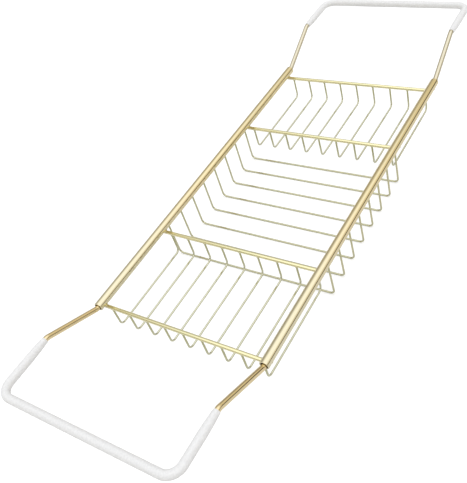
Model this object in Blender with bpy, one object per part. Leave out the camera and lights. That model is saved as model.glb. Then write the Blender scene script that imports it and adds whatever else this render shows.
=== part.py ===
"""Wire bath caddy that spans a tub.

Two hollow rails run along X. Four crossbars, the eight wires of the middle basket and the eighteen wires of the
two end trays are welded under them. A bent rod with a soft sleeve slides in and out of each end of the rails.
+X is the far end, +Y the left side, +Z up. The basket's wires stand on z = 0, below the middle of the caddy.
"""

import math

import bmesh
import bpy
from mathutils import Matrix, Vector

MM = 0.001

# Rails: round tube, its mouths rolled in just enough to hold the glides
RAIL_SPACING = 190.0 * MM
RAIL_LENGTH = 413.0 * MM
RAIL_WALL = 0.7 * MM
MOUTH_CLEARANCE = 1.0 * MM
MOUTH_LIP = 0.8 * MM
MOUTH_TAPER = 1.2 * MM
MOUTH_ROUND = 0.5 * MM

# Crossbars, under the rails at both ends of each tray
CROSSBAR_DIAMETER = 4.0 * MM
CROSSBAR_PAST_RAIL = 0.8 * MM
OUTER_CROSSBAR_INSET = 8.1 * MM
INNER_CROSSBAR_SPACING = 184.0 * MM

# Wires of the basket and the trays. A depth runs from the rails' centre line to the wire's centre line
WIRE_DIAMETER = 2.0 * MM
WIRE_BEND = 5.0 * MM
BASKET_DEPTH = 47.5 * MM
BASKET_WIRES = 8
BASKET_MARGIN = 8.3 * MM
TRAY_DEPTH = 34.2 * MM
TRAY_WIRES = 9
TRAY_MARGIN = 8.2 * MM

# Handles: a rod whose legs leave the rails, climb, level out and close in a U
ROD_DIAMETER = 5.5 * MM
HANDLE_CLIMB_RUN = 57.6 * MM
HANDLE_RISE = 27.1 * MM
HANDLE_REACH = 62.4 * MM
HANDLE_TRAVEL = 130.0 * MM
KNEE_BEND = 7.0 * MM
SHOULDER_BEND = 9.0 * MM
CORNER_BEND = 13.0 * MM
KNEE_CLEARANCE = 0.5 * MM

# Soft sleeves over the handles, and the glides on the legs' inner ends
SLEEVE_WALL = 1.05 * MM
GLIDE_WALL = 0.8 * MM
GLIDE_GRIP = 25.0 * MM
GLIDE_FLOOR = 1.2 * MM
GLIDE_CLEARANCE = 0.2 * MM

# Left between pieces that touch
SEAT_GAP = 0.3 * MM

# Facets of a full circle, and of a quarter turn of bent wire or rod
RAIL_SIDES = 16
ROD_SIDES = 12
WIRE_SIDES = 8
CORNER_STEPS = 6
WIRE_BEND_STEPS = 3
SLIGHT_BEND_STEPS = 3
MOUTH_STEPS = 3

# Two points closer than this are one, and edges sharper than this stay sharp
MERGE = 0.0001 * MM
SHARP_EDGE = math.radians(50)

GOLD = (0.83, 0.69, 0.40, 1.0)
ROSE_GOLD = (0.82, 0.62, 0.40, 1.0)
PALE_GOLD = (0.80, 0.74, 0.52, 1.0)
SOFT_WHITE = (0.87, 0.87, 0.86, 1.0)
NYLON = (0.75, 0.75, 0.72, 1.0)

RAIL_HALF = RAIL_LENGTH / 2
RAIL_SIDE = RAIL_SPACING / 2
RAIL_HEIGHT = BASKET_DEPTH + WIRE_DIAMETER / 2
ROD_RADIUS = ROD_DIAMETER / 2
SOCKET_RADIUS = ROD_RADIUS + SEAT_GAP
SLEEVE_RADIUS = SOCKET_RADIUS + SLEEVE_WALL
GLIDE_RADIUS = SOCKET_RADIUS + GLIDE_WALL
RAIL_BORE_RADIUS = GLIDE_RADIUS + GLIDE_CLEARANCE
RAIL_RADIUS = RAIL_BORE_RADIUS + RAIL_WALL
MOUTH_RADIUS = ROD_RADIUS + MOUTH_CLEARANCE
CROSSBAR_HEIGHT = RAIL_HEIGHT - RAIL_RADIUS - SEAT_GAP - CROSSBAR_DIAMETER / 2
OUTER_CROSSBAR = RAIL_HALF - OUTER_CROSSBAR_INSET
INNER_CROSSBAR = INNER_CROSSBAR_SPACING / 2
SLOPE = math.atan2(HANDLE_RISE, HANDLE_CLIMB_RUN)
KNEE = RAIL_HALF + KNEE_CLEARANCE + KNEE_BEND * math.tan(SLOPE / 2)
SHOULDER = KNEE + HANDLE_CLIMB_RUN
HANDLE_END = SHOULDER + HANDLE_REACH
SLEEVE_START = SHOULDER + SHOULDER_BEND * math.tan(SLOPE / 2) + SEAT_GAP
HANDLE_HEIGHT = RAIL_HEIGHT + HANDLE_RISE
LEG_START = RAIL_HALF - MOUTH_LIP - MOUTH_TAPER - GLIDE_GRIP - HANDLE_TRAVEL - SEAT_GAP

Y_AXIS = Vector((0, 1, 0))
X_AXIS = Vector((1, 0, 0))


def clear_scene():
    for obj in list(bpy.data.objects):
        bpy.data.objects.remove(obj)


def finish(name, color, roughness, metallic):
    """A Principled material."""
    material = bpy.data.materials.new(name)
    material.use_nodes = True
    shader = material.node_tree.nodes["Principled BSDF"]
    shader.inputs["Base Color"].default_value = color
    shader.inputs["Roughness"].default_value = roughness
    shader.inputs["Metallic"].default_value = metallic
    return material


def add_piece(name, mesh, material, parent=None):
    """An object from a bmesh, its faces turned outwards, its round surfaces smooth and its cut ends sharp."""
    bmesh.ops.remove_doubles(mesh, verts=mesh.verts, dist=MERGE)
    bmesh.ops.recalc_face_normals(mesh, faces=mesh.faces)
    data = bpy.data.meshes.new(name)
    mesh.to_mesh(data)
    mesh.free()
    data.materials.append(material)
    data.shade_smooth()
    data.set_sharp_from_angle(angle=SHARP_EDGE)
    piece = bpy.data.objects.new(name, data)
    bpy.context.scene.collection.objects.link(piece)
    if parent:
        # The points are worked out in the world, and the piece keeps its origin on its parent's axis
        data.transform(parent.matrix_world.inverted())
        piece.parent = parent
    return piece


def flat_to_flat(radius, sides):
    """The corner radius of a polygon whose flats lie on the circle."""
    return radius / math.cos(math.pi / sides)


def cut_end(mesh, radius, bore_radius, sides, place, heading, across):
    """The end face of a rod, or of a tube where there is a bore, with one flat square to across."""
    upright = heading.cross(across)
    placing = Matrix((across, upright, heading)).transposed().to_4x4()
    placing.translation = place
    placing = placing @ Matrix.Rotation(math.pi / sides, 4, "Z")
    rims = []
    for rim_radius in (radius, bore_radius):
        if rim_radius:
            rim = bmesh.ops.create_circle(
                mesh, segments=sides, radius=flat_to_flat(rim_radius, sides), matrix=placing
            )
            rims.append(rim["verts"])
    if len(rims) == 1:
        return [mesh.faces.new(rims[0])]
    edges = {edge for rim in rims for point in rim for edge in point.link_edges}
    return bmesh.ops.bridge_loops(mesh, edges=list(edges))["faces"]


def faces_in(geometry):
    return [item for item in geometry if isinstance(item, bmesh.types.BMFace)]


def with_edges(faces):
    return faces + list({edge for face in faces for edge in face.edges})


def run_on(mesh, faces, travel):
    """Draws the end faces straight on."""
    drawn = bmesh.ops.extrude_face_region(mesh, geom=with_edges(faces))["geom"]
    points = [item for item in drawn if isinstance(item, bmesh.types.BMVert)]
    bmesh.ops.translate(mesh, vec=travel, verts=points)
    return faces_in(drawn)


def bend_on(mesh, faces, centre, axis, angle, steps):
    """Draws the end faces round an arc."""
    drawn = bmesh.ops.spin(
        mesh,
        geom=with_edges(faces),
        cent=centre,
        axis=axis,
        angle=angle,
        steps=steps,
        use_merge=False,
    )
    return faces_in(drawn["geom_last"])


def bent_along(corners, bends, radius, bore_radius, sides, across):
    """A rod or tube that runs from corner to corner. Each inner corner is rounded by its (radius, steps)."""
    mesh = bmesh.new()
    place = corners[0]
    heading = (corners[1] - place).normalized()
    faces = cut_end(mesh, radius, bore_radius, sides, place, heading, across)
    for corner, following, (bend_radius, steps) in zip(corners[1:], corners[2:], bends):
        turned = (following - corner).normalized()
        angle = heading.angle(turned)
        setback = bend_radius * math.tan(angle / 2)
        bend_start = corner - heading * setback
        if (bend_start - place).length > MERGE:
            faces = run_on(mesh, faces, bend_start - place)
        axis = heading.cross(turned).normalized()
        centre = bend_start + axis.cross(heading) * bend_radius
        faces = bend_on(mesh, faces, centre, axis, angle, steps)
        place = corner + turned * setback
        heading = turned
    run_on(mesh, faces, corners[-1] - place)
    return mesh


def turned_on_x(profile, sides, place):
    """A solid turned about X from (distance along X, radius) points in a closed ring, then moved to its place."""
    mesh = bmesh.new()
    points = [mesh.verts.new((along, 0, -flat_to_flat(radius, sides))) for along, radius in profile]
    for point, following in zip(points, points[1:] + points[:1]):
        mesh.edges.new((point, following))
    bmesh.ops.rotate(
        mesh, verts=mesh.verts, cent=(0, 0, 0), matrix=Matrix.Rotation(math.pi / sides, 3, "X")
    )
    bmesh.ops.spin(
        mesh,
        geom=mesh.verts[:] + mesh.edges[:],
        cent=(0, 0, 0),
        axis=X_AXIS,
        angle=2 * math.pi,
        steps=sides,
        use_merge=True,
    )
    bmesh.ops.translate(mesh, vec=place, verts=mesh.verts)
    return mesh


def spread(count, first, last):
    """Evenly spaced places from the first to the last."""
    return [first + (last - first) * index / (count - 1) for index in range(count)]


def rolled_end(end):
    """Half of a rail's wall, from its middle out along the bore, round the mouth and back along the outside."""
    wall = [
        (RAIL_HALF - MOUTH_LIP - MOUTH_TAPER, RAIL_BORE_RADIUS),
        (RAIL_HALF - MOUTH_LIP, MOUTH_RADIUS),
        (RAIL_HALF, MOUTH_RADIUS),
    ]
    for step in range(MOUTH_STEPS + 1):
        turn = math.pi / 2 * step / MOUTH_STEPS
        along = RAIL_HALF - MOUTH_ROUND * (1 - math.cos(turn))
        wall.append((along, RAIL_RADIUS - MOUTH_ROUND * (1 - math.sin(turn))))
    return [(end * along, radius) for along, radius in wall]


def build_rails(material):
    profile = rolled_end(1) + rolled_end(-1)[::-1]
    for name, side in (("left_rail", 1), ("right_rail", -1)):
        mesh = turned_on_x(profile, RAIL_SIDES, Vector((0, side * RAIL_SIDE, RAIL_HEIGHT)))
        add_piece(name, mesh, material)


def build_crossbars(material):
    half_length = RAIL_SIDE + CROSSBAR_PAST_RAIL
    places = {
        "near_outer_crossbar": -OUTER_CROSSBAR,
        "near_inner_crossbar": -INNER_CROSSBAR,
        "far_inner_crossbar": INNER_CROSSBAR,
        "far_outer_crossbar": OUTER_CROSSBAR,
    }
    for name, along in places.items():
        ends = [Vector((along, side * half_length, CROSSBAR_HEIGHT)) for side in (1, -1)]
        mesh = bent_along(ends, [], CROSSBAR_DIAMETER / 2, 0, WIRE_SIDES, X_AXIS)
        add_piece(name, mesh, material)


def build_basket(material):
    """U-shaped wires across the caddy, butt-welded to the rails' undersides."""
    top = RAIL_HEIGHT - RAIL_RADIUS - SEAT_GAP
    floor = RAIL_HEIGHT - BASKET_DEPTH
    end_wire = INNER_CROSSBAR - BASKET_MARGIN
    for number, along in enumerate(spread(BASKET_WIRES, -end_wire, end_wire), 1):
        corners = [
            Vector((along, RAIL_SIDE, top)),
            Vector((along, RAIL_SIDE, floor)),
            Vector((along, -RAIL_SIDE, floor)),
            Vector((along, -RAIL_SIDE, top)),
        ]
        bends = [(WIRE_BEND, WIRE_BEND_STEPS)] * 2
        mesh = bent_along(corners, bends, WIRE_DIAMETER / 2, 0, WIRE_SIDES, X_AXIS)
        add_piece(f"basket_wire_{number}", mesh, material)


def build_trays(material):
    """U-shaped wires along the caddy, butt-welded to the undersides of two crossbars."""
    top = CROSSBAR_HEIGHT - CROSSBAR_DIAMETER / 2 - SEAT_GAP
    floor = RAIL_HEIGHT - TRAY_DEPTH
    side_wire = RAIL_SIDE - TRAY_MARGIN
    for tray, end in (("near", -1), ("far", 1)):
        for number, side in enumerate(spread(TRAY_WIRES, side_wire, -side_wire), 1):
            corners = [
                Vector((end * INNER_CROSSBAR, side, top)),
                Vector((end * INNER_CROSSBAR, side, floor)),
                Vector((end * OUTER_CROSSBAR, side, floor)),
                Vector((end * OUTER_CROSSBAR, side, top)),
            ]
            bends = [(WIRE_BEND, WIRE_BEND_STEPS)] * 2
            mesh = bent_along(corners, bends, WIRE_DIAMETER / 2, 0, WIRE_SIDES, Y_AXIS)
            add_piece(f"{tray}_tray_wire_{number}", mesh, material)


def round_the_end(left_side):
    """The corners of a U across the caddy: those of its left side, in order, then their mirror images."""
    return left_side + [point * Vector((1, -1, 1)) for point in reversed(left_side)]


def build_handle(end, name, metal, sleeve, nylon):
    """The sliding rod with its sleeve and glides, all on an empty at the middle of the rails' mouths."""
    slide = bpy.data.objects.new(f"{name}_slide", None)
    slide.location = (end * RAIL_HALF, 0, RAIL_HEIGHT)
    bpy.context.scene.collection.objects.link(slide)
    bpy.context.view_layer.update()

    leg_start = Vector((end * LEG_START, RAIL_SIDE, RAIL_HEIGHT))
    left_side = [
        leg_start,
        Vector((end * KNEE, RAIL_SIDE, RAIL_HEIGHT)),
        Vector((end * SHOULDER, RAIL_SIDE, HANDLE_HEIGHT)),
        Vector((end * HANDLE_END, RAIL_SIDE, HANDLE_HEIGHT)),
    ]
    knee = (KNEE_BEND, SLIGHT_BEND_STEPS)
    shoulder = (SHOULDER_BEND, SLIGHT_BEND_STEPS)
    corner = (CORNER_BEND, CORNER_STEPS)
    bends = [knee, shoulder, corner, corner, shoulder, knee]
    mesh = bent_along(round_the_end(left_side), bends, ROD_RADIUS, 0, ROD_SIDES, Y_AXIS)
    add_piece(f"{name}_rod", mesh, metal, slide)

    # The sleeve covers the level part of the U, from the end of each shoulder's bend
    left_side = [
        Vector((end * SLEEVE_START, RAIL_SIDE, HANDLE_HEIGHT)),
        Vector((end * HANDLE_END, RAIL_SIDE, HANDLE_HEIGHT)),
    ]
    mesh = bent_along(
        round_the_end(left_side),
        [corner, corner],
        SLEEVE_RADIUS,
        SOCKET_RADIUS,
        ROD_SIDES,
        Y_AXIS,
    )
    add_piece(f"{name}_sleeve", mesh, sleeve, slide)

    # A glide is a cup pressed over the end of a leg
    profile = [
        (-end * (SEAT_GAP + GLIDE_FLOOR), 0),
        (-end * (SEAT_GAP + GLIDE_FLOOR), GLIDE_RADIUS),
        (end * GLIDE_GRIP, GLIDE_RADIUS),
        (end * GLIDE_GRIP, SOCKET_RADIUS),
        (-end * SEAT_GAP, SOCKET_RADIUS),
        (-end * SEAT_GAP, 0),
    ]
    for side, start in zip(("left", "right"), round_the_end([leg_start])):
        mesh = turned_on_x(profile, RAIL_SIDES, start)
        add_piece(f"{name}_{side}_glide", mesh, nylon, slide)


def main():
    clear_scene()
    rail_gold = finish("rail_gold", GOLD, roughness=0.16, metallic=1.0)
    wire_gold = finish("wire_gold", PALE_GOLD, roughness=0.22, metallic=1.0)
    rod_gold = finish("rod_gold", ROSE_GOLD, roughness=0.18, metallic=1.0)
    sleeve_white = finish("sleeve_white", SOFT_WHITE, roughness=0.5, metallic=0.0)
    glide_nylon = finish("glide_nylon", NYLON, roughness=0.45, metallic=0.0)
    build_rails(rail_gold)
    build_crossbars(wire_gold)
    build_basket(wire_gold)
    build_trays(wire_gold)
    build_handle(-1, "near_handle", rod_gold, sleeve_white, glide_nylon)
    build_handle(1, "far_handle", rod_gold, sleeve_white, glide_nylon)


main()
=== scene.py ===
"""Champagne-gold wire bath caddy that spans a tub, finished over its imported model, in a plain white studio.

Two tubes carry the crossbars and the wires of the basket and both trays. A bent rod in a soft white sleeve
slides in and out of each end. Lengths are in metres, +X is the far end, +Y the left side and +Z up.
"""

import math

import bmesh
import bpy
from mathutils import Matrix, Vector


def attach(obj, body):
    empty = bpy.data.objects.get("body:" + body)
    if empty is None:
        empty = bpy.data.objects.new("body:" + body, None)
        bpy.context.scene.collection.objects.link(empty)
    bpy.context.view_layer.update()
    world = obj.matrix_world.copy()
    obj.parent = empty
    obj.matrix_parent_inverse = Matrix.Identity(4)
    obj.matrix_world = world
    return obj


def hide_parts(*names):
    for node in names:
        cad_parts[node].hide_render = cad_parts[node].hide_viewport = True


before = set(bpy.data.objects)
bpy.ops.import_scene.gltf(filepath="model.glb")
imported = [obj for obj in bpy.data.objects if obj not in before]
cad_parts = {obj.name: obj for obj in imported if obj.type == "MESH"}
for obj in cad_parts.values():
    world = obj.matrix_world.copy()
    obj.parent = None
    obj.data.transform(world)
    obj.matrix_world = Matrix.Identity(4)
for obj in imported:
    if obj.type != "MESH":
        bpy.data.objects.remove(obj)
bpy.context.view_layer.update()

# The camera stands above and beyond the caddy's near right corner and looks down across it, rolled a little
# so the caddy runs up the frame. The lens is a normal one, worked out from the photograph's perspective.
CAMERA_PLACE = (-0.43598, -0.34231, 0.50352)
CAMERA_TURN_DEGREES = (45.4548, 14.7787, -59.0155)
FILM_WIDTH = 36.0
PHOTO_HEIGHT = 483
FOCAL_PIXELS = 670.12

camera_lens = bpy.data.cameras.new("photo_camera")
camera_lens.sensor_fit = "AUTO"
camera_lens.sensor_width = FILM_WIDTH
camera_lens.lens = FILM_WIDTH * FOCAL_PIXELS / PHOTO_HEIGHT
camera = bpy.data.objects.new("photo_camera", camera_lens)
camera.location = CAMERA_PLACE
camera.rotation_euler = [math.radians(turn) for turn in CAMERA_TURN_DEGREES]
bpy.context.scene.collection.objects.link(camera)
bpy.context.scene.camera = camera
bpy.context.scene.view_settings.view_transform = "Standard"

# The studio is a white paper floor under one broad soft light. Below the light come cream walls, then a dark
# band, which the metal shows as a thin dark line along each tube, and a paler strip where the floor ends.
# A grey screen stands at the left, a little towards the far end. The camera itself sees plain white.
PURE_WHITE = (1.0, 1.0, 1.0, 1.0)
DARK_ROOM = Vector((0.09, 0.07, 0.045))
WARM_WALL = Vector((1.00, 0.93, 0.76))
WHITE_LIGHT = Vector((0.95, 0.965, 1.0))

# The lights, each beside its height in the room. A direction's height is its product with the lean, plus the
# lift, so the horizon lies near 0.11 and the bands lie lower towards the near right.
SKY_LEAN = (-0.08, -0.10, 1.0)
SKY_LIFT = 0.113
SKY = [
    (0.0, WHITE_LIGHT * 0.60),
    (0.08, WHITE_LIGHT * 0.76),
    (0.13, WHITE_LIGHT * 0.66),
    (0.18, DARK_ROOM),
    (0.33, DARK_ROOM),
    (0.41, WARM_WALL * 0.88),
    (0.60, WARM_WALL * 0.88),
    (0.71, WHITE_LIGHT * 1.20),
    (0.80, WHITE_LIGHT * 1.34),
    (0.90, WHITE_LIGHT * 1.46),
    (1.0, WHITE_LIGHT * 1.47),
]
SCREEN_SIDE = (0.42, 0.91, 0.0)
SCREEN_REACH = (0.22, 0.9)
SCREEN_COVER = 0.70
SCREEN_GREY = (0.50, 0.49, 0.46, 1.0)
FLOOR_WIDTH = 8.0
FLOOR_PAPER = (0.73, 0.73, 0.73, 1.0)
FLOOR_GLOW_SEEN = 0.37
FLOOR_GLOW_REFLECTED = 0.08


def add_node(tree, kind, inputs=None, output=0, **settings):
    """Adds a node and returns one of its outputs. Each input is another node's output or a plain value."""
    node = tree.nodes.new(kind)
    for name, value in settings.items():
        setattr(node, name, value)
    for socket, source in (inputs or {}).items():
        if isinstance(source, bpy.types.NodeSocket):
            tree.links.new(source, node.inputs[socket])
        else:
            node.inputs[socket].default_value = source
    return node.outputs[output]


def calculated(tree, operation, *values):
    """The result of a math node. Each value is another node's output or a number."""
    return add_node(tree, "ShaderNodeMath", dict(enumerate(values)), operation=operation)


def ranged(tree, value, given, wanted, interpolation="LINEAR"):
    """The value taken from one range to another, and held at its ends."""
    inputs = dict(enumerate((value, *given, *wanted)))
    return add_node(tree, "ShaderNodeMapRange", inputs, interpolation_type=interpolation)


def mixed(tree, mask, first, second):
    """The colour that goes from the first to the second as the mask goes from 0 to 1."""
    return add_node(tree, "ShaderNodeMix", {0: mask, 6: first, 7: second}, output=2, data_type="RGBA")


def facing(tree, direction, way):
    """How far a direction points the given way."""
    inputs = {0: direction, 1: way}
    return add_node(tree, "ShaderNodeVectorMath", inputs, output="Value", operation="DOT_PRODUCT")


def light_studio():
    world = bpy.data.worlds.new("studio_room")
    world.use_nodes = True
    bpy.context.scene.world = world
    tree = world.node_tree
    tree.nodes.clear()
    direction = add_node(tree, "ShaderNodeTexCoord", output="Generated")
    height = calculated(tree, "ADD", facing(tree, direction, SKY_LEAN), SKY_LIFT)
    sky = tree.nodes.new("ShaderNodeValToRGB")
    while len(sky.color_ramp.elements) < len(SKY):
        sky.color_ramp.elements.new(1.0)
    for stop, (place, light) in zip(sky.color_ramp.elements, SKY):
        stop.position = place
        stop.color = (*light, 1.0)
    tree.links.new(height, sky.inputs["Fac"])
    sideways = facing(tree, direction, SCREEN_SIDE)
    screen = ranged(tree, sideways, SCREEN_REACH, (0.0, SCREEN_COVER), "SMOOTHSTEP")
    room = mixed(tree, screen, sky.outputs["Color"], SCREEN_GREY)
    seen = add_node(tree, "ShaderNodeLightPath", output="Is Camera Ray")
    colour = mixed(tree, seen, room, PURE_WHITE)
    background = add_node(tree, "ShaderNodeBackground", {"Color": colour, "Strength": 1.0})
    output = tree.nodes.new("ShaderNodeOutputWorld")
    tree.links.new(background, output.inputs["Surface"])


def white_paper():
    paper = bpy.data.materials.new("floor_paper")
    paper.use_nodes = True
    tree = paper.node_tree
    tree.nodes.clear()
    rays = tree.nodes.new("ShaderNodeLightPath")
    reflected = calculated(tree, "ADD", rays.outputs["Is Glossy Ray"], rays.outputs["Is Transmission Ray"])
    reflected_glow = calculated(tree, "MULTIPLY", reflected, FLOOR_GLOW_REFLECTED)
    seen = rays.outputs["Is Camera Ray"]
    strength = calculated(tree, "MULTIPLY_ADD", seen, FLOOR_GLOW_SEEN, reflected_glow)
    surface = add_node(tree, "ShaderNodeBsdfDiffuse", {"Color": FLOOR_PAPER})
    glow = add_node(tree, "ShaderNodeEmission", {"Color": PURE_WHITE, "Strength": strength})
    both = add_node(tree, "ShaderNodeAddShader", {0: surface, 1: glow})
    output = tree.nodes.new("ShaderNodeOutputMaterial")
    tree.links.new(both, output.inputs["Surface"])
    return paper


def lay_floor():
    mesh = bmesh.new()
    bmesh.ops.create_grid(mesh, x_segments=1, y_segments=1, size=FLOOR_WIDTH / 2)
    data = bpy.data.meshes.new("studio_floor")
    mesh.to_mesh(data)
    mesh.free()
    data.materials.append(white_paper())
    floor = bpy.data.objects.new("studio_floor", data)
    bpy.context.scene.collection.objects.link(floor)


light_studio()
lay_floor()

# The rails are thin round steel tubes, plated in champagne gold and polished. Each mouth is rolled in just
# enough to hold the glides. The plating stops just inside the bore; past it the steel is painted dark as
# shade.
MM = 0.001
X_AXIS = Vector((1, 0, 0))
Y_AXIS = Vector((0, 1, 0))
MERGE = 0.0001 * MM
SHARP_EDGE = math.radians(42)
RAIL_SIDE = 95.0 * MM
RAIL_HEIGHT = 48.5 * MM
RAIL_HALF = 206.5 * MM
RAIL_RADIUS = 4.75 * MM
RAIL_BORE = 4.05 * MM
RAIL_SIDES = 64
MOUTH_RADIUS = 3.75 * MM
MOUTH_LIP = 0.8 * MM
MOUTH_TAPER = 1.2 * MM
MOUTH_ROUND = 0.5 * MM
MOUTH_ROUND_STEPS = 8
MOUTH_EDGE = 0.15 * MM
MOUTH_EDGE_STEPS = 4
PLATED_BORE = 0.4 * MM

# A plating's gold as it is in general, in its warm clouds and in its olive clouds. A polish is the roughness
# of the metal between its drawing marks, and how much more there is in them.
RAIL_GOLDS = [(0.77, 0.652, 0.385, 1.0), (0.775, 0.63, 0.37, 1.0), (0.755, 0.657, 0.395, 1.0)]
RAIL_POLISH = (0.03, 0.03)
# Painted highlight: the rails' gold turns paler and yellower towards the near end, standing in for the
# brighter highlight there.
NEAR_HIGHLIGHT_GOLD = (0.72, 0.66, 0.465, 1.0)
NEAR_HIGHLIGHT_REACH = (0.02, -0.16)
NEAR_HIGHLIGHT_COVER = 0.85
# Painted shade: the bore past the mouth is nearly black brown.
BORE_SHADE_BROWN = (0.05, 0.03, 0.014, 1.0)
BORE_RUST = (0.11, 0.075, 0.04, 1.0)
BORE_METALLIC = 0.8
BORE_ROUGHNESS = (0.45, 0.7)
RUST_GRAIN = 260.0

# Grain is how many clouds of a noise there are to the metre. Nearly all of a noise lies in its usual span.
USUAL_SPAN = (0.3, 0.7)
MARK_GRAIN = (1100, 1100, 22)
MARK_FRAY = 0.6
MARK_SHADES = (0.95, 1.03)
MARK_DEPTH = 0.002 * MM
CLOUD_GRAIN = (60, 60, 14)
WARM_CLOUDS = (0.52, 0.72)
OLIVE_CLOUDS = (0.48, 0.28)
CLOUD_COVER = 0.8
PIT_GRAIN = 1900.0
PIT_PEAKS = (0.68, 0.78)
PIT_SHADE = -0.12
PIT_DULLNESS = 0.18
PIT_SINKING = -0.5


def noise(tree, place, grain, detail, fray=0.5):
    """Cloudy noise over a place, with one grain or with one for each axis."""
    if isinstance(grain, tuple):
        place = add_node(tree, "ShaderNodeMapping", {"Vector": place, "Scale": grain})
        grain = 1.0
    inputs = {"Vector": place, "Scale": grain, "Detail": detail, "Roughness": fray}
    return add_node(tree, "ShaderNodeTexNoise", inputs)


def build_plated_finish():
    """Drawing marks, tint clouds and fine pits of a plated surface.

    Surface holds a point's place across the drawn section and, last, how far along the piece it is.
    """
    group = bpy.data.node_groups.new("plated_finish", "ShaderNodeTree")
    socket = group.interface.new_socket
    socket("Surface", in_out="INPUT", socket_type="NodeSocketVector")
    for name in ("Gold", "Warm Tint", "Olive Tint"):
        socket(name, in_out="INPUT", socket_type="NodeSocketColor")
    for name in ("Polish", "Polish Spread"):
        socket(name, in_out="INPUT", socket_type="NodeSocketFloat")
    socket("Color", in_out="OUTPUT", socket_type="NodeSocketColor")
    for name in ("Roughness", "Height"):
        socket(name, in_out="OUTPUT", socket_type="NodeSocketFloat")
    given = group.nodes.new("NodeGroupInput")
    made = group.nodes.new("NodeGroupOutput")
    surface = given.outputs["Surface"]

    # Drawing marks are a millimetre apart and less, and run for some centimetres
    marks = noise(group, surface, MARK_GRAIN, detail=4.0, fray=MARK_FRAY)
    shade = ranged(group, marks, USUAL_SPAN, MARK_SHADES)

    # The plating's tint drifts from warm to olive over some centimetres
    clouds = noise(group, surface, CLOUD_GRAIN, detail=2.0)
    warm = ranged(group, clouds, WARM_CLOUDS, (0.0, CLOUD_COVER), "SMOOTHSTEP")
    olive = ranged(group, clouds, OLIVE_CLOUDS, (0.0, CLOUD_COVER), "SMOOTHSTEP")
    warmed = mixed(group, warm, given.outputs["Gold"], given.outputs["Warm Tint"])
    tinted = mixed(group, olive, warmed, given.outputs["Olive Tint"])

    # Pits a few tenths of a millimetre wide, sparse, darker and duller than the polish round them
    pits = ranged(group, noise(group, surface, PIT_GRAIN, detail=1.0), PIT_PEAKS, (0.0, 1.0))
    dimmed = calculated(group, "MULTIPLY_ADD", pits, PIT_SHADE, shade)
    colour = add_node(group, "ShaderNodeVectorMath", {0: tinted, "Scale": dimmed}, operation="SCALE")
    polish = given.outputs["Polish"]
    polish_spread = given.outputs["Polish Spread"]
    marked = calculated(group, "MULTIPLY_ADD", marks, polish_spread, polish)
    dulled = calculated(group, "MULTIPLY_ADD", pits, PIT_DULLNESS, marked)
    height = calculated(group, "MULTIPLY_ADD", pits, PIT_SINKING, marks)
    for name, result in (("Color", colour), ("Roughness", dulled), ("Height", height)):
        group.links.new(result, made.inputs[name])
    return group


PLATED_FINISH = build_plated_finish()


def new_material(name, metallic=0.0):
    """A material with its node tree."""
    material = bpy.data.materials.new(name)
    material.use_nodes = True
    tree = material.node_tree
    tree.nodes["Principled BSDF"].inputs["Metallic"].default_value = metallic
    return material, tree


def set_surface(tree, colour, roughness):
    """Gives a material's shader its colour and roughness."""
    shader = tree.nodes["Principled BSDF"]
    tree.links.new(colour, shader.inputs["Base Color"])
    tree.links.new(roughness, shader.inputs["Roughness"])


def set_relief(tree, height, depth):
    """Gives a material's shader a relief, this deep where the height goes from 0 to 1."""
    bump = add_node(tree, "ShaderNodeBump", {"Strength": 1.0, "Distance": depth, "Height": height}, "Normal")
    tree.links.new(bump, tree.nodes["Principled BSDF"].inputs["Normal"])


def drawn_place(tree):
    """A point's place on the piece as it was drawn, from the piece's own attribute."""
    return add_node(tree, "ShaderNodeAttribute", output="Vector", attribute_name="drawn")


def object_place(tree):
    """A point's place in the caddy."""
    return add_node(tree, "ShaderNodeTexCoord", output="Object")


def object_axis(tree, axis):
    """A point's place in the caddy along one axis."""
    return add_node(tree, "ShaderNodeSeparateXYZ", {0: object_place(tree)}, output=axis)


def plated(name, golds, polish):
    """A plated metal whose marks follow the piece's drawing."""
    material, tree = new_material(name, metallic=1.0)
    finish = tree.nodes.new("ShaderNodeGroup")
    finish.node_tree = PLATED_FINISH
    tree.links.new(drawn_place(tree), finish.inputs["Surface"])
    sockets = ("Gold", "Warm Tint", "Olive Tint", "Polish", "Polish Spread")
    for socket, value in zip(sockets, (*golds, *polish)):
        finish.inputs[socket].default_value = value
    set_surface(tree, finish.outputs["Color"], finish.outputs["Roughness"])
    set_relief(tree, finish.outputs["Height"], MARK_DEPTH)
    return material


def tint_over(material, mask, tint):
    """Lays a tint over a material's own colour, as far as the mask says."""
    tree = material.node_tree
    colour = tree.nodes["Principled BSDF"].inputs["Base Color"]
    tree.links.new(mixed(tree, mask, colour.links[0].from_socket, tint), colour)


def paint_near_end_highlight(material):
    """Paints a highlight on the rails: their gold turns paler and yellower towards their near end."""
    tree = material.node_tree
    mask = ranged(tree, object_axis(tree, "X"), NEAR_HIGHLIGHT_REACH, (0.0, NEAR_HIGHLIGHT_COVER), "SMOOTHSTEP")
    tint_over(material, mask, NEAR_HIGHLIGHT_GOLD)


def bore_with_painted_shade():
    """Steel inside a tube: plated at the very mouth, then painted nearly black brown as shade, mottled like
    rust.
    """
    material, tree = new_material("bore_steel", BORE_METALLIC)
    rust = noise(tree, object_place(tree), RUST_GRAIN, detail=3.0)
    along = calculated(tree, "ABSOLUTE", object_axis(tree, "X"))
    mouth = ranged(tree, along, (RAIL_HALF - 2 * PLATED_BORE, RAIL_HALF - PLATED_BORE), (0.0, 1.0))
    colour = mixed(tree, mouth, mixed(tree, rust, BORE_SHADE_BROWN, BORE_RUST), RAIL_GOLDS[0])
    set_surface(tree, colour, ranged(tree, rust, USUAL_SPAN, BORE_ROUGHNESS))
    return material


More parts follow.
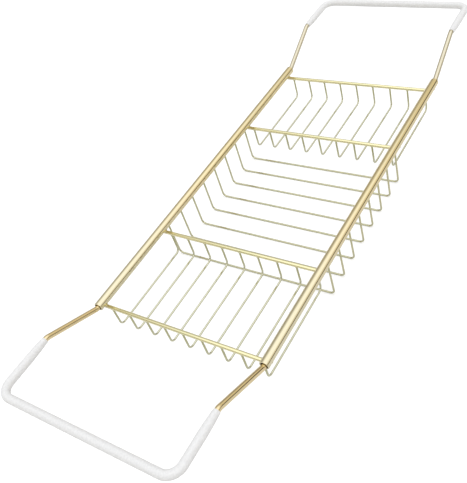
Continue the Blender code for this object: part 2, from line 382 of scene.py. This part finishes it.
def finished(name, mesh, materials, slot, body, *nodes):
    """The finished piece from its bmesh. It stands for these CAD nodes and rides on their body."""
    data = bpy.data.meshes.new(name)
    mesh.to_mesh(data)
    mesh.free()
    for material in materials:
        data.materials.append(material)
    data.shade_smooth()
    data.set_sharp_from_angle(angle=SHARP_EDGE)
    piece = bpy.data.objects.new(name, data)
    bpy.context.scene.collection.objects.link(piece)
    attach(piece, body)
    if nodes:
        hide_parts(*nodes)
    return piece


def rounded_corner(centre, radius, start, end, steps):
    """Points of an arc in the profile's plane, with angles in degrees."""
    turns = [math.radians(start + (end - start) * step / steps) for step in range(steps + 1)]
    return [(centre[0] + radius * math.cos(turn), centre[1] + radius * math.sin(turn)) for turn in turns]


def turned_on_x(profile, sides, place):
    """A ring of (along X, radius) points turned about X and moved to its place, with its drawn attribute."""
    mesh = bmesh.new()
    points = [mesh.verts.new((along, 0, radius)) for along, radius in profile]
    for point, following in zip(points, points[1:] + points[:1]):
        mesh.edges.new((point, following))
    bmesh.ops.spin(
        mesh,
        geom=mesh.verts[:] + mesh.edges[:],
        cent=(0, 0, 0),
        axis=X_AXIS,
        angle=2 * math.pi,
        steps=sides,
        use_merge=True,
    )
    bmesh.ops.remove_doubles(mesh, verts=mesh.verts, dist=MERGE)
    bmesh.ops.recalc_face_normals(mesh, faces=mesh.faces)
    drawn = mesh.verts.layers.float_vector.new("drawn")
    for point in mesh.verts:
        point[drawn] = (point.co.y, point.co.z, point.co.x)
    bmesh.ops.translate(mesh, vec=place, verts=mesh.verts)
    return mesh


def rail_end():
    """Half of a rail's wall, from inside the bore, round the rolled mouth and on to the outside."""
    wall = [(RAIL_HALF - MOUTH_LIP - MOUTH_TAPER, RAIL_BORE)]
    wall += [(RAIL_HALF - MOUTH_LIP, MOUTH_RADIUS)]
    edge = (RAIL_HALF - MOUTH_EDGE, MOUTH_RADIUS + MOUTH_EDGE)
    wall += rounded_corner(edge, MOUTH_EDGE, -90, 0, MOUTH_EDGE_STEPS)
    shoulder = (RAIL_HALF - MOUTH_ROUND, RAIL_RADIUS - MOUTH_ROUND)
    wall += rounded_corner(shoulder, MOUTH_ROUND, 0, 90, MOUTH_ROUND_STEPS)
    return wall


def make_rails():
    gold = plated("rail_plating", RAIL_GOLDS, RAIL_POLISH)
    # Painted highlight: paler, yellower gold towards the rails' near end
    paint_near_end_highlight(gold)
    bore = bore_with_painted_shade()
    half = rail_end()
    ring = half + [(-along, radius) for along, radius in reversed(half)]
    for node, side in (("left_rail", 1), ("right_rail", -1)):
        place = Vector((0, side * RAIL_SIDE, RAIL_HEIGHT))
        mesh = turned_on_x(ring, RAIL_SIDES, place)
        for face in mesh.faces:
            middle = face.calc_center_median() - place
            inward = face.normal.dot(Vector((0, middle.y, middle.z))) < 0
            face.material_index = int(inward and abs(middle.x) < RAIL_HALF - MOUTH_EDGE)
        finished(f"{node}_tube", mesh, [gold, bore], "rail_gold", "frame", node)


make_rails()

# The crossbars are solid round rods across the caddy, resistance-welded under both rails at each end of the
# trays, and plated with them. Where a bar crosses a rail, the weld leaves a low saddle of metal.
BAR_RADIUS = 2.0 * MM
BAR_HALF = 95.8 * MM
BAR_HEIGHT = 41.45 * MM
INNER_BAR = 92.0 * MM
OUTER_BAR = 198.4 * MM
BAR_SIDES = 28
# Painted highlight: the bars are given a paler gold than the rails they are plated with.
BAR_GOLDS = [(0.80, 0.745, 0.445, 1.0), (0.79, 0.71, 0.415, 1.0), (0.755, 0.73, 0.435, 1.0)]
BAR_POLISH = (0.12, 0.08)
# Painted shade: the bars turn darker and browner towards the rails they pass under.
BAR_SHADE_SPAN = (84.0 * MM, 93.0 * MM)
BAR_SHADE_COVER = 0.4
BAR_SHADE_BROWN = (0.62, 0.50, 0.32, 1.0)
# How ragged the painted shade towards the welds is, and how far it runs on past its span
SHADE_GRAIN = 900.0
SHADE_RAGGED_SHARE = 0.8
SHADE_OVERRUN_SHARE = 0.4
SADDLE_SIZE = (2.6 * MM, 3.2 * MM, 0.85 * MM)
SADDLE_SUBDIVISIONS = 3

# A cut end as steps of (length, radius) in millimetres, from the end face inwards. The wires' and rods' ends
# are given in the same way.
BAR_END = [(0.0, 1.50), (0.16, 1.75), (0.22, 1.91), (0.32, 2.00)]


class Drawing:
    """A wire, rod or sleeve as it is drawn: an end face that moves on, and the skin it leaves behind."""

    def __init__(self, radii, sides, place, heading, across):
        self.mesh = bmesh.new()
        self.drawn = self.mesh.verts.layers.float_vector.new("drawn")
        self.place = place.copy()
        self.heading = heading.normalized()
        self.radii = list(radii)
        self.travelled = 0.0
        upright = self.heading.cross(across)
        placing = Matrix((across, upright, self.heading)).transposed().to_4x4()
        placing.translation = place
        rims = []
        for radius in radii:
            rim = bmesh.ops.create_circle(self.mesh, segments=sides, radius=radius, matrix=placing)["verts"]
            for point in rim:
                out = point.co - place
                point[self.drawn] = (out.dot(across), out.dot(upright), 0.0)
            rims.append(rim)
        if len(rims) == 1:
            self.faces = [self.mesh.faces.new(rims[0])]
        else:
            edges = dict.fromkeys(edge for rim in rims for point in rim for edge in point.link_edges)
            self.faces = bmesh.ops.bridge_loops(self.mesh, edges=list(edges))["faces"]

    def _points(self):
        return list(dict.fromkeys(point for face in self.faces for point in face.verts))

    def _region(self):
        return self.faces + list(dict.fromkeys(edge for face in self.faces for edge in face.edges))

    def _take(self, geometry, travel):
        """Takes the new end face, and marks its points with how far along they are."""
        self.faces = [item for item in geometry if isinstance(item, bmesh.types.BMFace)]
        self.travelled += travel
        for point in self._points():
            across, upright, _ = point[self.drawn]
            point[self.drawn] = (across, upright, self.travelled)

    def run(self, length, radii=None):
        """Draws straight on, and narrows or widens to the new radii, if there are any."""
        drawn = bmesh.ops.extrude_face_region(self.mesh, geom=self._region())["geom"]
        self._take(drawn, length)
        bmesh.ops.translate(self.mesh, vec=self.heading * length, verts=self._points())
        self.place += self.heading * length
        if radii:
            middle = (self.radii[0] + self.radii[-1]) / 2 if len(self.radii) > 1 else 0.0
            rims = [[], []]
            for point in self._points():
                rims[int((point.co - self.place).length < middle)].append(point)
            about = Matrix.Translation(-self.place)
            for rim, old, new in zip(rims, self.radii, radii):
                bmesh.ops.scale(self.mesh, vec=Vector((1, 1, 1)) * (new / old), space=about, verts=rim)
            self.radii = list(radii)

    def bend(self, heading, bend_radius, steps):
        """Draws round an arc to the new heading."""
        heading = heading.normalized()
        angle = self.heading.angle(heading)
        axis = self.heading.cross(heading).normalized()
        centre = self.place + axis.cross(self.heading) * bend_radius
        for _ in range(steps):
            drawn = bmesh.ops.spin(
                self.mesh,
                geom=self._region(),
                cent=centre,
                axis=axis,
                angle=angle / steps,
                steps=1,
                use_merge=False,
            )
            self._take(drawn["geom_last"], bend_radius * angle / steps)
        self.place = centre + Matrix.Rotation(angle, 3, axis) @ (self.place - centre)
        self.heading = heading

    def done(self):
        """The bmesh, closed and facing outwards."""
        bmesh.ops.remove_doubles(self.mesh, verts=self.mesh.verts, dist=MERGE)
        bmesh.ops.recalc_face_normals(self.mesh, faces=self.mesh.faces)
        return self.mesh


def drawn_along(corners, bends, ends, sides, across):
    """A piece drawn from corner to corner.

    Each inner corner has its bend, as (radius, steps). Both ends have the same steps of (length, radii), and
    the first step is the end face itself.
    """
    piece = Drawing(ends[0][1], sides, corners[0], corners[1] - corners[0], across)
    for length, radii in ends[1:]:
        piece.run(length, radii)
    for corner, following, (bend_radius, steps) in zip(corners[1:], corners[2:], bends):
        turned = (following - corner).normalized()
        setback = bend_radius * math.tan(piece.heading.angle(turned) / 2)
        piece.run((corner - piece.place).length - setback)
        piece.bend(turned, bend_radius, steps)
    tail = sum(length for length, _ in ends[1:])
    piece.run((corners[-1] - piece.place).length - tail)
    for (length, _), (_, radii) in zip(reversed(ends[1:]), reversed(ends[:-1])):
        piece.run(length, radii)
    return piece.done()


def in_metres(ends):
    """Steps of (length, radius) in millimetres as steps of (length, [radius]) in metres."""
    return [(length * MM, [radius * MM]) for length, radius in ends]


def paint_shade_towards_welds(material, axis, shade_span, tint, cover):
    """Paints shade raggedly over the plating towards the welds, deepening from the span's start to its end
    along an axis.
    """
    tree = material.node_tree
    start, end = shade_span
    away = calculated(tree, "ABSOLUTE", object_axis(tree, axis))
    ragged = noise(tree, object_place(tree), SHADE_GRAIN, detail=3.0)
    reach = calculated(tree, "MULTIPLY_ADD", ragged, (end - start) * SHADE_RAGGED_SHARE, away)
    full = end + (end - start) * SHADE_OVERRUN_SHARE
    tint_over(material, ranged(tree, reach, (start, full), (0.0, cover), "SMOOTHSTEP"), tint)


def saddle_welds(name, places, material):
    """Low lumps of weld metal, one at each place."""
    mesh = bmesh.new()
    for place in places:
        lump = bmesh.ops.create_icosphere(mesh, subdivisions=SADDLE_SUBDIVISIONS, radius=1.0)["verts"]
        bmesh.ops.scale(mesh, vec=SADDLE_SIZE, verts=lump)
        bmesh.ops.translate(mesh, vec=place, verts=lump)
    drawn = mesh.verts.layers.float_vector.new("drawn")
    for point in mesh.verts:
        point[drawn] = point.co
    return finished(name, mesh, [material], "wire_gold", "frame")


def make_crossbars():
    gold = plated("bar_plating", BAR_GOLDS, BAR_POLISH)
    # Painted shade under and beside the rails
    paint_shade_towards_welds(gold, "Y", BAR_SHADE_SPAN, BAR_SHADE_BROWN, BAR_SHADE_COVER)
    places = {
        "near_outer_crossbar": -OUTER_BAR,
        "near_inner_crossbar": -INNER_BAR,
        "far_inner_crossbar": INNER_BAR,
        "far_outer_crossbar": OUTER_BAR,
    }
    for node, along in places.items():
        ends = [Vector((along, side * BAR_HALF, BAR_HEIGHT)) for side in (1, -1)]
        mesh = drawn_along(ends, [], in_metres(BAR_END), BAR_SIDES, X_AXIS)
        finished(f"{node}_rod", mesh, [gold], "wire_gold", "frame", node)
    contact = (BAR_HEIGHT + BAR_RADIUS + RAIL_HEIGHT - RAIL_RADIUS) / 2
    welds = [Vector((along, side * RAIL_SIDE, contact)) for along in places.values() for side in (1, -1)]
    saddle_welds("crossbar_welds", welds, gold)


make_crossbars()

# The middle basket is eight round 2 mm wires across the caddy, each bent to a U and butt-welded under both
# rails. The weld spreads each end like a small foot against the rail. The caddy stands on these wires.
WIRE_SIDES = 20
WIRE_BENDS = [(5.0 * MM, 10)] * 2
WIRE_POLISH = (0.05, 0.05)
# Painted shade: the wires' legs turn darker and more olive towards the welds.
WIRE_SHADE_OLIVE = (0.40, 0.385, 0.18, 1.0)
BASKET_WIRES = 8
BASKET_END = 83.7 * MM
BASKET_FLOOR = 1.0 * MM
BASKET_FOOT_TOP = 44.15 * MM
BASKET_FOOT = [(0.0, 1.90), (0.35, 1.60), (0.30, 1.32), (0.40, 1.13), (0.60, 1.03), (0.70, 1.00)]
BASKET_GOLDS = [(0.585, 0.567, 0.375, 1.0), (0.605, 0.56, 0.355, 1.0), (0.555, 0.562, 0.365, 1.0)]
BASKET_SHADE_SPAN = (32.0 * MM, 42.0 * MM)
BASKET_SHADE_COVER = 0.5


def spread(count, first, last):
    """Evenly spaced places from the first to the last."""
    return [first + (last - first) * index / (count - 1) for index in range(count)]


def bent_wire(node, feet, top, floor, ends, across, gold):
    """A wire bent to a U between its two feet, each given by its place seen from above."""
    (first_x, first_y), (last_x, last_y) = feet
    corners = [
        Vector((first_x, first_y, top)),
        Vector((first_x, first_y, floor)),
        Vector((last_x, last_y, floor)),
        Vector((last_x, last_y, top)),
    ]
    mesh = drawn_along(corners, WIRE_BENDS, in_metres(ends), WIRE_SIDES, across)
    finished(f"{node}_drawn", mesh, [gold], "wire_gold", "frame", node)


def make_basket():
    gold = plated("basket_plating", BASKET_GOLDS, WIRE_POLISH)
    # Painted shade: darker, more olive up the legs towards the feet under the rails
    paint_shade_towards_welds(gold, "Z", BASKET_SHADE_SPAN, WIRE_SHADE_OLIVE, BASKET_SHADE_COVER)
    for number, along in enumerate(spread(BASKET_WIRES, -BASKET_END, BASKET_END), 1):
        feet = [(along, RAIL_SIDE), (along, -RAIL_SIDE)]
        node = f"basket_wire_{number}"
        bent_wire(node, feet, BASKET_FOOT_TOP, BASKET_FLOOR, BASKET_FOOT, X_AXIS, gold)


make_basket()

# Each end tray is nine of the same wires along the caddy, bent to a shallower U and butt-welded under its
# two crossbars. Here the weld swells into a collar that wraps the lower half of the bar.
TRAY_WIRES = 9
TRAY_SIDE = 86.8 * MM
TRAY_FLOOR = 14.3 * MM
TRAY_COLLAR_TOP = 41.0 * MM
TRAY_COLLAR = [
    (0.0, 1.40),
    (0.35, 1.72),
    (0.50, 1.80),
    (0.50, 1.62),
    (0.45, 1.32),
    (0.50, 1.10),
    (0.60, 1.00),
]
# Painted highlight: the trays' wires are given a paler gold than the same wire in the basket.
TRAY_GOLDS = [(0.70, 0.693, 0.54, 1.0), (0.72, 0.683, 0.52, 1.0), (0.67, 0.678, 0.53, 1.0)]
TRAY_SHADE_SPAN = (15.0 * MM, 30.0 * MM)
TRAY_SHADE_COVER = 0.75


def make_trays():
    gold = plated("tray_plating", TRAY_GOLDS, WIRE_POLISH)
    # Painted shade: darker, more olive up the legs from the floor to the collars
    paint_shade_towards_welds(gold, "Z", TRAY_SHADE_SPAN, WIRE_SHADE_OLIVE, TRAY_SHADE_COVER)
    for tray, end in (("near", -1), ("far", 1)):
        for number, side in enumerate(spread(TRAY_WIRES, TRAY_SIDE, -TRAY_SIDE), 1):
            feet = [(end * INNER_BAR, side), (end * OUTER_BAR, side)]
            node = f"{tray}_tray_wire_{number}"
            bent_wire(node, feet, TRAY_COLLAR_TOP, TRAY_FLOOR, TRAY_COLLAR, Y_AXIS, gold)


make_trays()

# Each handle is one solid rod, bent to a U. Its straight legs slide inside the rails, climb at the knees,
# level out at the shoulders and meet across the end. Their golds differ as painted reflection: the near one
# is rosier where it reflects the floor, the far one paler where it shows the light overhead.
HANDLES = (("near_handle", -1), ("far_handle", 1))
LEG_START = 49.2 * MM
KNEE = 208.564 * MM
SHOULDER = 266.164 * MM
HANDLE_END = 328.564 * MM
HANDLE_HEIGHT = 75.6 * MM
KNEE_BEND = (7.0 * MM, 6)
SHOULDER_BEND = (9.0 * MM, 6)
CORNER_BEND = (13.0 * MM, 16)
ROD_SIDES = 36
ROD_END = [(0.0, 2.15), (0.15, 2.45), (0.25, 2.67), (0.30, 2.75)]
ROD_POLISH = (0.04, 0.04)
# Painted reflection: a rosier gold for the near handle, a paler one for the far
ROD_GOLDS_PAINTED_LIGHT = {
    "near_handle": [(0.78, 0.64, 0.38, 1.0), (0.78, 0.605, 0.355, 1.0), (0.73, 0.615, 0.365, 1.0)],
    "far_handle": [(0.65, 0.59, 0.44, 1.0), (0.66, 0.575, 0.415, 1.0), (0.625, 0.58, 0.43, 1.0)],
}


def round_the_end(left_side):
    """The corners of a U across the caddy: those of its left side, in order, then their mirror images."""
    return left_side + [point * Vector((1, -1, 1)) for point in reversed(left_side)]


def make_rods():
    for handle, end in HANDLES:
        gold = plated(f"{handle}_plating", ROD_GOLDS_PAINTED_LIGHT[handle], ROD_POLISH)
        left_side = [
            Vector((end * LEG_START, RAIL_SIDE, RAIL_HEIGHT)),
            Vector((end * KNEE, RAIL_SIDE, RAIL_HEIGHT)),
            Vector((end * SHOULDER, RAIL_SIDE, HANDLE_HEIGHT)),
            Vector((end * HANDLE_END, RAIL_SIDE, HANDLE_HEIGHT)),
        ]
        bends = [KNEE_BEND, SHOULDER_BEND, CORNER_BEND, CORNER_BEND, SHOULDER_BEND, KNEE_BEND]
        mesh = drawn_along(round_the_end(left_side), bends, in_metres(ROD_END), ROD_SIDES, Y_AXIS)
        finished(f"{handle}_rod_plated", mesh, [gold], "rod_gold", handle, f"{handle}_rod")


make_rods()

# A soft white vinyl sleeve covers the level part of each handle, which rests on the rim of the tub. It is
# pulled on tight: it starts at the shoulders hardly wider than the rod and swells to its full wall over two
# centimetres.
SLEEVE_START = 268.476 * MM
SLEEVE_SIDES = 40
SLEEVE_WHITE = (0.845, 0.845, 0.845, 1.0)
SLEEVE_GREY = (0.77, 0.77, 0.775, 1.0)
MOTTLE_GRAIN = 640.0
MOTTLE_FRAY = 0.6
MOTTLE_SPAN = (0.35, 0.65)
DIMPLE_GRAIN = 700.0
DIMPLE_SHARE = 5.0
VINYL_GRAIN = 2600.0
VINYL_ROUGHNESS = (0.42, 0.56)
VINYL_DEPTH = 0.02 * MM

# The steps of a sleeve's end as (length, outer radius, bore radius) in millimetres
SLEEVE_TAPER = [
    (0.0, 2.98, 2.84),
    (0.10, 3.10, 2.78),
    (0.22, 3.19, 2.78),
    (0.50, 3.26, 2.80),
    (3.0, 3.44, 2.88),
    (5.0, 3.72, 2.98),
    (6.0, 3.97, 3.05),
    (6.0, 4.10, 3.05),
]


def soft_vinyl():
    """White vinyl, faintly mottled, with shallow dimples under a fine grain."""
    material, tree = new_material("sleeve_vinyl")
    place = object_place(tree)
    mottle = noise(tree, place, MOTTLE_GRAIN, detail=3.0, fray=MOTTLE_FRAY)
    dimples = noise(tree, place, DIMPLE_GRAIN, detail=1.0)
    grain = noise(tree, place, VINYL_GRAIN, detail=2.0)
    colour = mixed(tree, ranged(tree, mottle, MOTTLE_SPAN, (0.0, 1.0)), SLEEVE_WHITE, SLEEVE_GREY)
    set_surface(tree, colour, ranged(tree, grain, USUAL_SPAN, VINYL_ROUGHNESS))
    set_relief(tree, calculated(tree, "MULTIPLY_ADD", dimples, DIMPLE_SHARE, grain), VINYL_DEPTH)
    return material


def make_sleeves():
    vinyl = soft_vinyl()
    ends = [(length * MM, [outer * MM, bore * MM]) for length, outer, bore in SLEEVE_TAPER]
    bends = [CORNER_BEND, CORNER_BEND]
    for handle, end in HANDLES:
        left_side = [
            Vector((end * SLEEVE_START, RAIL_SIDE, HANDLE_HEIGHT)),
            Vector((end * HANDLE_END, RAIL_SIDE, HANDLE_HEIGHT)),
        ]
        mesh = drawn_along(round_the_end(left_side), bends, ends, SLEEVE_SIDES, Y_AXIS)
        finished(f"{handle}_sleeve_soft", mesh, [vinyl], "sleeve_white", handle, f"{handle}_sleeve")


make_sleeves()

# A moulded nylon cup is pressed over the inner end of each leg, out of sight in the rail. It centres the leg
# in the bore, and two shallow grooves round it hold grease.
GLIDE_GRIP = 25.0 * MM
GLIDE_RADIUS = 3.85 * MM
GLIDE_BORE = 3.05 * MM
GLIDE_GAP = 0.3 * MM
GLIDE_FLOOR = 1.2 * MM
GLIDE_EDGE = 0.35 * MM
GLIDE_EDGE_STEPS = 4
GLIDE_SIDES = 48
GROOVE_DEPTH = 0.25 * MM
GROOVE_WIDTH = 1.2 * MM
GROOVE_PLACE_SHARES = (0.30, 0.70)
GROOVE_SECTION_SHARES = ((-0.5, 0), (-0.3, 1), (0.3, 1), (0.5, 0))
NYLON_WHITE = (0.78, 0.77, 0.73, 1.0)
NYLON_YELLOW = (0.74, 0.71, 0.64, 1.0)
NYLON_CLOUD_GRAIN = 300.0
SCUFF_GRAIN = (1600, 1600, 90)
NYLON_ROUGHNESS = (0.35, 0.55)
SCUFF_DEPTH = 0.01 * MM


def moulded_nylon():
    """Nylon, unevenly yellowed, and scuffed lengthways by its sliding."""
    material, tree = new_material("glide_nylon_moulded")
    surface = drawn_place(tree)
    cloud = noise(tree, surface, NYLON_CLOUD_GRAIN, detail=3.0)
    scuffs = noise(tree, surface, SCUFF_GRAIN, detail=3.0)
    colour = mixed(tree, cloud, NYLON_WHITE, NYLON_YELLOW)
    set_surface(tree, colour, ranged(tree, scuffs, USUAL_SPAN, NYLON_ROUGHNESS))
    set_relief(tree, scuffs, SCUFF_DEPTH)
    return material


def glide_profile():
    """From the middle of the cup's floor, out over its closed end, along the skin and back up the bore."""
    closed = -(GLIDE_GAP + GLIDE_FLOOR)
    profile = [(closed, 0.0)]
    corner = (closed + GLIDE_EDGE, GLIDE_RADIUS - GLIDE_EDGE)
    profile += rounded_corner(corner, GLIDE_EDGE, 180, 90, GLIDE_EDGE_STEPS)
    for groove in GROOVE_PLACE_SHARES:
        middle = closed + (GLIDE_GRIP - closed) * groove
        for offset, depth in GROOVE_SECTION_SHARES:
            profile.append((middle + offset * GROOVE_WIDTH, GLIDE_RADIUS - depth * GROOVE_DEPTH))
    corner = (GLIDE_GRIP - GLIDE_EDGE, GLIDE_RADIUS - GLIDE_EDGE)
    profile += rounded_corner(corner, GLIDE_EDGE, 90, 0, GLIDE_EDGE_STEPS)
    profile += [(GLIDE_GRIP, GLIDE_BORE), (-GLIDE_GAP, GLIDE_BORE), (-GLIDE_GAP, 0.0)]
    return profile


def make_glides():
    nylon = moulded_nylon()
    for handle, end in HANDLES:
        profile = [(end * along, radius) for along, radius in glide_profile()]
        for side, across in (("left", 1), ("right", -1)):
            place = Vector((end * LEG_START, across * RAIL_SIDE, RAIL_HEIGHT))
            mesh = turned_on_x(profile, GLIDE_SIDES, place)
            node = f"{handle}_{side}_glide"
            finished(f"{node}_moulded", mesh, [nylon], "glide_nylon", handle, node)


make_glides()
